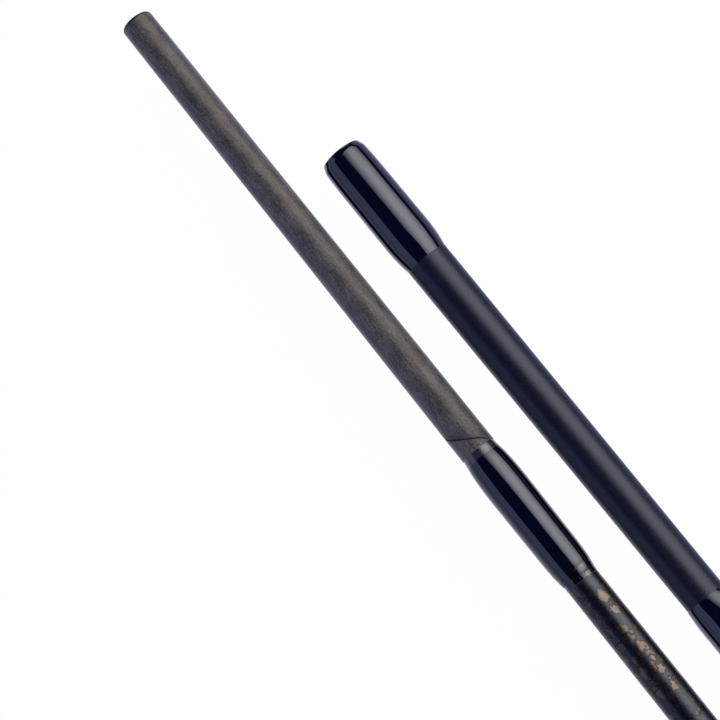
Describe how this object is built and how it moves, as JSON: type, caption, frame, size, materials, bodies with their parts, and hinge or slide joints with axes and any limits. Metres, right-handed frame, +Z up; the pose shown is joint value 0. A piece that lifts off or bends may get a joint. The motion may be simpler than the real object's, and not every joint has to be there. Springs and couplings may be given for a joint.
{
  "type": "drop shot rod",
  "caption": "Two-piece spinning rod taken apart: a butt section with tenon, reel seat and grips, beside a tip section with its ferrule mouth, line guides and tip-top.",
  "frame": {"origin": "middle of the footprint, on the floor that the rod lies on", "axes": "+X along the butt section, from its tenon to its butt cap, and +Z up"},
  "size_m": [1.1398, 0.0704, 0.0259],
  "materials": {
    "patterned_blank": "clear gloss over black carbon with irregular tan and brown flecks",
    "bare_carbon": "bare sanded carbon with fine lengthwise grain",
    "trim_thread": "dark purple-brown thread under clear resin",
    "gloss_resin": "black thread under thick glossy resin",
    "matt_blank": "matt black paint on carbon",
    "frame_metal": "black plated steel wire",
    "hard_ring": "polished dark ceramic",
    "gunmetal": "dark anodised, satin",
    "seat_plastic": "satin black moulding",
    "arbor_foam": "rigid grey foam",
    "foam": "fine-celled black foam, ground smooth",
    "rubber": "moulded black rubber"
  },
  "bodies": {
    "butt_section": {"butt_blank": "patterned_blank", "tenon_sleeve": "bare_carbon", "butt_ferrule_trim": "trim_thread", "butt_ferrule_whipping": "gloss_resin", "stripper_whipping_fore": "gloss_resin", "stripper_whipping_rear": "gloss_resin", "hook_keeper_whipping_fore": "gloss_resin", "hook_keeper_whipping_rear": "gloss_resin", "stripper_guide_frame": "frame_metal", "hook_keeper": "frame_metal", "stripper_guide_ring": "hard_ring", "fore_winding_check": "gunmetal", "fixed_hood": "gunmetal", "seat_rear_ring": "gunmetal", "mid_grip_check": "gunmetal", "rear_grip_check": "gunmetal", "butt_cap_ring": "gunmetal", "reel_seat_body": "seat_plastic", "seat_arbor_fore": "arbor_foam", "seat_arbor_rear": "arbor_foam", "mid_grip": "foam", "rear_grip": "foam", "butt_cap": "rubber"},
    "sliding_hood": {"sliding_hood": "gunmetal"},
    "lock_nut": {"lock_nut": "gunmetal", "fore_grip": "foam"},
    "tip_section": {"tip_ferrule_whipping": "gloss_resin", "guide_2_whipping_rear": "gloss_resin", "guide_2_whipping_fore": "gloss_resin", "guide_3_whipping": "gloss_resin", "guide_4_whipping": "gloss_resin", "guide_5_whipping": "gloss_resin", "guide_6_whipping": "gloss_resin", "guide_7_whipping": "gloss_resin", "tip_top_whipping": "gloss_resin", "tip_blank": "matt_blank", "guide_2_frame": "frame_metal", "guide_3_frame": "frame_metal", "guide_4_frame": "frame_metal", "guide_5_frame": "frame_metal", "guide_6_frame": "frame_metal", "guide_7_frame": "frame_metal", "tip_top_frame": "frame_metal", "guide_2_ring": "hard_ring", "guide_3_ring": "hard_ring", "guide_4_ring": "hard_ring", "guide_5_ring": "hard_ring", "guide_6_ring": "hard_ring", "guide_7_ring": "hard_ring", "tip_top_ring": "hard_ring"}
  },
  "joints": [
    {"name": "tip_turn", "type": "hinge", "parent": "butt_section", "child": "tip_section", "pos_m": [-0.5552, 0.00523, 0.0129], "axis": [0.0039, 0, 1], "range_deg": [0, 179.5]},
    {"name": "hood_slide", "type": "slide", "parent": "butt_section", "child": "sliding_hood", "axis": [1, 0, 0], "range_m": [0, 0.022]},
    {"name": "nut_spin", "type": "hinge", "parent": "sliding_hood", "child": "lock_nut", "pos_m": [0.058, -0.00145, 0.013], "axis": [1, 0, 0], "range_deg": [0, 1979.9]}
  ],
  "couplings": [
    {"joint": "hood_slide", "follows": "nut_spin", "m_per_rad": 0.00063662}
  ]
}
